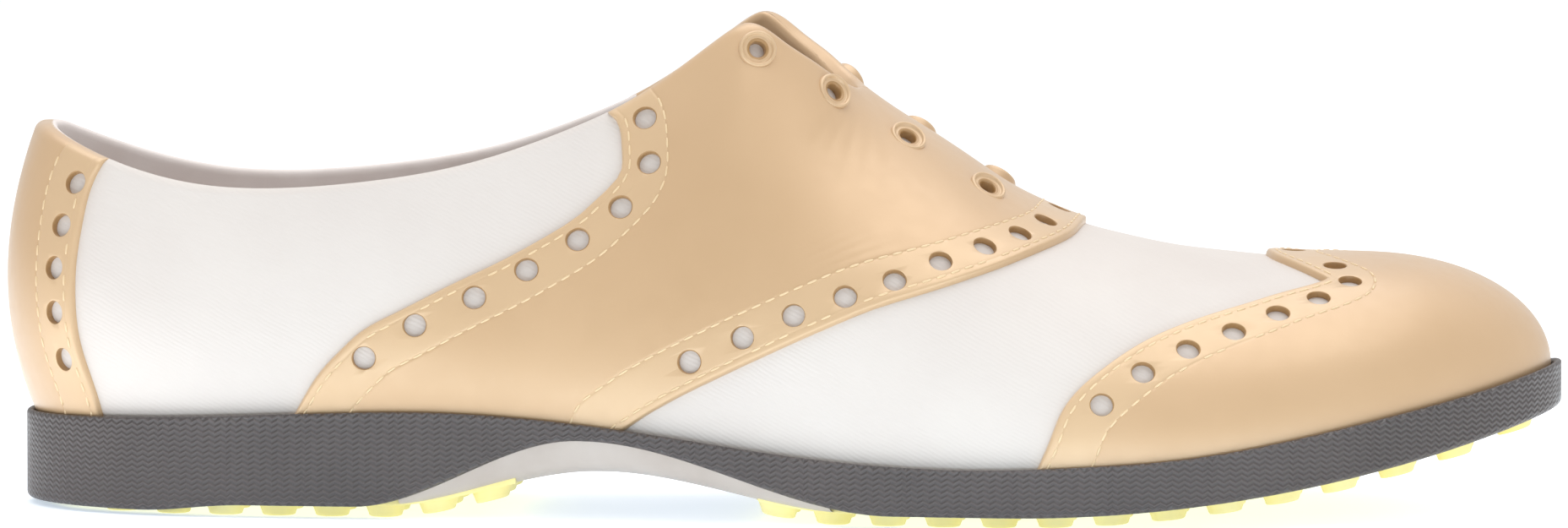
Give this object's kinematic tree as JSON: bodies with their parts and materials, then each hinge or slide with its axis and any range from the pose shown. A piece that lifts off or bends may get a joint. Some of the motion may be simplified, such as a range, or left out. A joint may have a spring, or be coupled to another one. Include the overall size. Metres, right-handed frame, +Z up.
{
  "type": "golf shoe",
  "caption": "Right golf shoe: laceless moulded wingtip upper with perforated overlays on a low outsole with an arched waist, a studded tread and a lift-out footbed.",
  "frame": {"origin": "on the ground plane that the studs stand on, under the middle of the shoe's bounding box", "axes": "+X from the heel to the toe, +Y to the medial (big toe) side, +Z up; the lateral side faces -Y"},
  "size_m": [0.3069, 0.1066, 0.0963],
  "materials": {
    "white_upper": "fine-grained matte moulded foam",
    "gold_overlay": "satin tan-gold moulded overlay with a fine grain",
    "brown_sidewall": "dark brown-grey rubber with a fine diagonal twill",
    "white_arch": "smooth matte white",
    "yellow_tread": "smooth pale yellow rubber",
    "lasting_board": "pressed fibre board",
    "footbed_foam": "soft foam under a fine textile"
  },
  "bodies": {
    "shoe": {"upper_shell": "white_upper", "heel_counter": "gold_overlay", "saddle": "gold_overlay", "toe_cap": "gold_overlay", "outsole": "brown_sidewall", "arch_shank": "white_arch", "heel_tread": "yellow_tread", "forefoot_tread": "yellow_tread", "lasting_board": "lasting_board", "eyelet_lateral_1": "gold_overlay", "eyelet_lateral_2": "gold_overlay", "eyelet_lateral_3": "gold_overlay", "eyelet_lateral_4": "gold_overlay", "eyelet_medial_1": "gold_overlay", "eyelet_medial_2": "gold_overlay", "eyelet_medial_3": "gold_overlay", "eyelet_medial_4": "gold_overlay"},
    "footbed": {"footbed": "footbed_foam"}
  },
  "joints": [
    {"name": "footbed_lift", "type": "hinge", "parent": "shoe", "child": "footbed", "pos_m": [0.143, 0, 0.0275], "axis": [0, 1, 0], "range_deg": [0, 3.5]}
  ]
}
